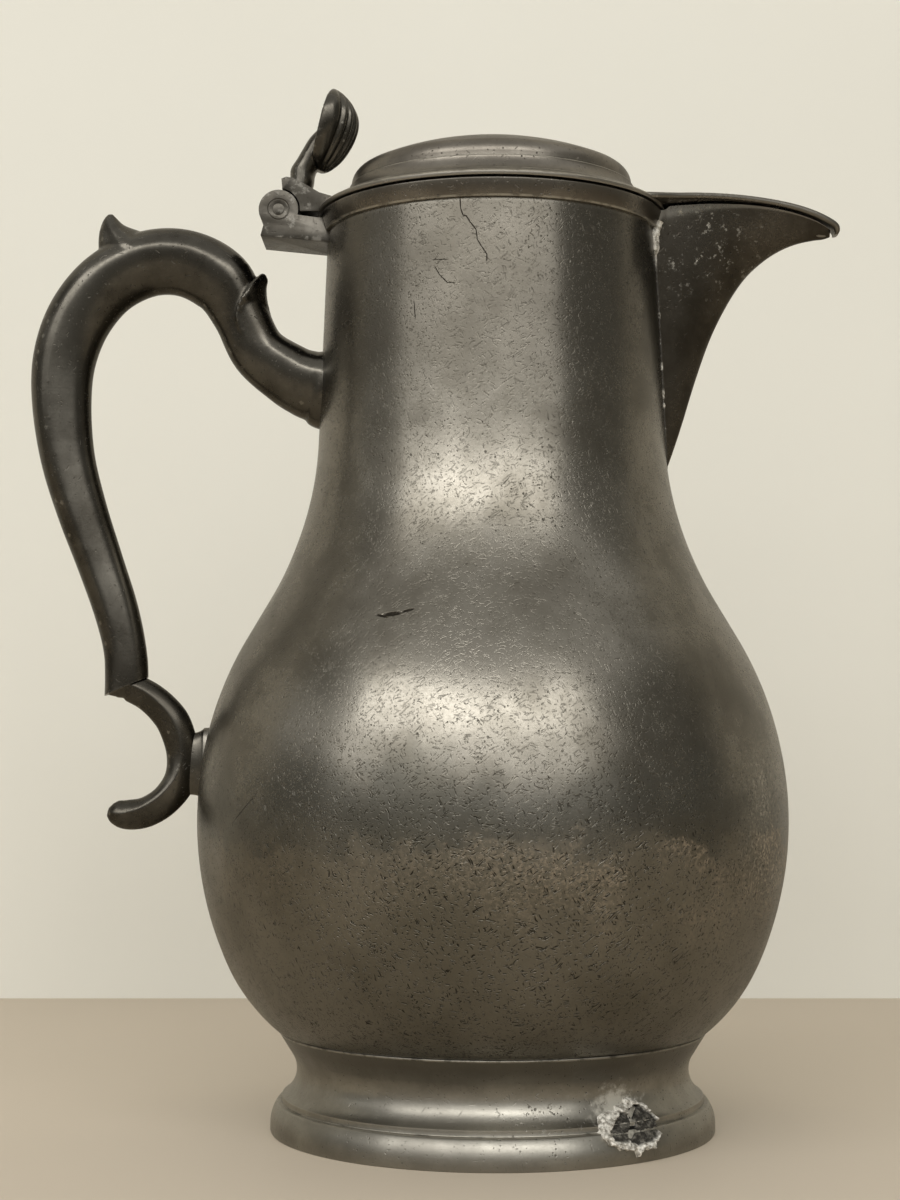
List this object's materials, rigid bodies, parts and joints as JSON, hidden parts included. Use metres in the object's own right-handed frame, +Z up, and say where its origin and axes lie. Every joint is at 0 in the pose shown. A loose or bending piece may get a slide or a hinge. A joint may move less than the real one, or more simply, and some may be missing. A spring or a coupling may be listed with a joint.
{
  "type": "pewter flagon",
  "caption": "Pear-shaped pewter flagon with a beak spout, scroll handle, moulded foot and domed lid that tips back on a pin hinge by its shell thumbpiece, for pouring wine or ale.",
  "frame": {"origin": "centre of the foot's underside, on the table", "axes": "+Z up along the body's axis, +X towards the spout's tip, -X towards the handle, and the lid's pin lies along Y"},
  "size_m": [0.2517, 0.18, 0.3204],
  "materials": {
    "worn_pewter": "semi-polished old pewter with fine pits and scratches",
    "dark_pewter": "dark cast pewter with a dull patina",
    "solder_patch": "pale crusted solder"
  },
  "bodies": {
    "vessel": {"body_lower": "worn_pewter", "body_upper": "worn_pewter", "base_disc": "dark_pewter", "foot": "worn_pewter", "foot_repair": "solder_patch", "rim_collar": "worn_pewter", "spout": "worn_pewter", "hinge_block": "dark_pewter", "hinge_pin": "dark_pewter", "handle": "dark_pewter", "handle_scroll": "dark_pewter", "handle_boss": "dark_pewter"},
    "lid": {"lid": "worn_pewter", "lid_beak": "worn_pewter", "hinge_lug": "dark_pewter", "thumbpiece": "dark_pewter"}
  },
  "joints": [
    {"name": "lid_hinge", "type": "hinge", "parent": "vessel", "child": "lid", "pos_m": [-0.0657, 0, 0.2805], "axis": [0, -1, 0], "range_deg": [0, 105]}
  ]
}
